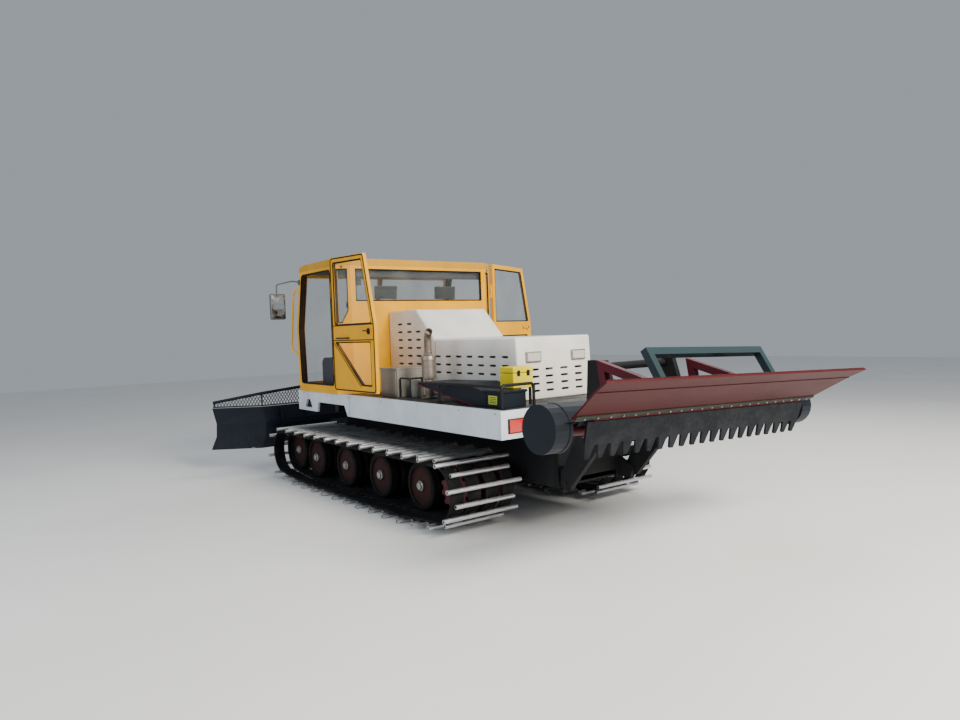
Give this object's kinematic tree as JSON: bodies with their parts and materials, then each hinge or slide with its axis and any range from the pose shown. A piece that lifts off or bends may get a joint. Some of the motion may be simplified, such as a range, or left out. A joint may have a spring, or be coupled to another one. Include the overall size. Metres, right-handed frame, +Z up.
{
  "type": "snowcat groomer",
  "caption": "Tracked snowcat groomer with an open-door glazed cab, louvred rear hood, front blade, raised rear tiller and twin wide cleated tracks.",
  "frame": {"origin": "middle of the rear deck plate, on its top face, 1.145 m above the ground", "axes": "+Z up, +Y towards the tiller, +X to the left of a driver who faces the blade"},
  "size_m": [3.9248, 7.1518, 2.7006],
  "materials": {
    "yellow": "gloss",
    "white": "satin",
    "black": "satin",
    "red": "satin",
    "dark_red": "satin",
    "grey": "satin",
    "signal_yellow": "satin",
    "bars": "satin",
    "steel": "satin",
    "rubber": "matte",
    "glass": "gloss",
    "cloth": "matte",
    "trim": "matte"
  },
  "bodies": {
    "chassis": {"chassis_frame": "black", "deck_plate": "grey", "rear_deck_plate": "grey", "left_skirt": "white", "right_skirt": "white", "rear_skirt": "white", "cab_floor": "yellow", "cab_roof": "yellow", "cab_rear_wall": "yellow", "cab_left_side": "yellow", "cab_right_side": "yellow", "cab_front_frame": "yellow", "windshield": "glass", "rear_window": "glass", "left_quarter_window": "glass", "right_quarter_window": "glass", "seat_platform": "trim", "left_seat": "cloth", "right_seat": "cloth", "dashboard": "trim", "engine_hood": "white", "engine_block": "grey", "muffler": "steel", "deck_cabinet": "grey", "battery_box": "black", "tool_box": "signal_yellow", "deck_handrail": "black", "fuel_tank": "grey", "left_mirror": "black", "right_mirror": "black", "left_track": "bars", "right_track": "bars", "left_running_gear": "dark_red", "right_running_gear": "dark_red", "left_sprocket": "dark_red", "right_sprocket": "dark_red"},
    "steering": {"steering_wheel": "trim"},
    "left_door": {"left_door": "yellow", "left_door_glass": "glass", "left_door_lower_glass": "glass"},
    "right_door": {"right_door": "yellow", "right_door_glass": "glass", "right_door_lower_glass": "glass"},
    "blade_lift": {"blade_push_frame": "black"},
    "blade_swing": {"blade": "black", "blade_guard": "black"},
    "blade_barrel": {"blade_cylinder_barrel": "black"},
    "blade_rod": {"blade_cylinder_rod": "steel"},
    "tiller_lift": {"tiller_lift_frame": "black"},
    "tiller": {"tiller_yoke": "dark_red", "tiller_housing": "black", "tiller_board": "red", "tiller_comb": "rubber", "tiller_hoop": "grey"},
    "tiller_rotor": {"tiller_rotor": "dark_red"},
    "tiller_barrel": {"tiller_cylinder_barrel": "black"},
    "tiller_rod": {"tiller_cylinder_rod": "steel"}
  },
  "joints": [
    {"name": "steering", "type": "hinge", "parent": "chassis", "child": "steering", "pos_m": [0.43, -3.4, 0.785], "axis": [0, 0.5711, 0.8209], "range_deg": [-150, 150]},
    {"name": "left_door", "type": "hinge", "parent": "chassis", "child": "left_door", "pos_m": [1.155, -2.71, 0.055], "axis": [0, 0, 1], "range_deg": [-180, 0]},
    {"name": "right_door", "type": "hinge", "parent": "chassis", "child": "right_door", "pos_m": [-1.155, -2.71, 0.055], "axis": [0, 0, 1], "range_deg": [-109, 71]},
    {"name": "blade_lift", "type": "hinge", "parent": "chassis", "child": "blade_lift", "pos_m": [0, -3.75, -0.645], "axis": [-1, 0, 0], "range_deg": [-16, 10]},
    {"name": "blade_swing", "type": "hinge", "parent": "blade_lift", "child": "blade_swing", "pos_m": [0, -4.59, -0.645], "axis": [0, 0, 1], "range_deg": [-10, 10]},
    {"name": "blade_barrel_tilt", "type": "hinge", "parent": "chassis", "child": "blade_barrel", "pos_m": [0, -3.97, -0.175], "axis": [-1, 0, 0], "range_deg": [-15.3, 9.9]},
    {"name": "blade_rod_slide", "type": "slide", "parent": "blade_barrel", "child": "blade_rod", "axis": [0, -0.8758, -0.4826], "range_m": [-0.0922, 0.1475]},
    {"name": "tiller_lift", "type": "hinge", "parent": "chassis", "child": "tiller_lift", "pos_m": [0, 0.3, -0.695], "axis": [1, 0, 0], "range_deg": [-40, 6]},
    {"name": "tiller_roll", "type": "hinge", "parent": "tiller_lift", "child": "tiller", "pos_m": [0, 0.9, 0.095], "axis": [0, 1, 0], "range_deg": [-2, 6]},
    {"name": "rotor_spin", "type": "hinge", "parent": "tiller", "child": "tiller_rotor", "pos_m": [0.00558, 1.27, -0.0649], "axis": [0.9994, 0, 0.0349], "continuous": true},
    {"name": "tiller_barrel_tilt", "type": "hinge", "parent": "chassis", "child": "tiller_barrel", "pos_m": [0, 0, -0.325], "axis": [1, 0, 0], "range_deg": [-33.1, 5.8]},
    {"name": "tiller_rod_slide", "type": "slide", "parent": "tiller_barrel", "child": "tiller_rod", "axis": [0, 0.8657, 0.5005], "range_m": [-0.0474, 0.3157]}
  ],
  "couplings": [
    {"joint": "blade_barrel_tilt", "follows": "blade_lift", "ratio": 0.8948},
    {"joint": "blade_rod_slide", "follows": "blade_lift", "m_per_rad": -0.5128},
    {"joint": "tiller_barrel_tilt", "follows": "tiller_lift", "ratio": 0.8031},
    {"joint": "tiller_rod_slide", "follows": "tiller_lift", "m_per_rad": -0.4391}
  ]
}
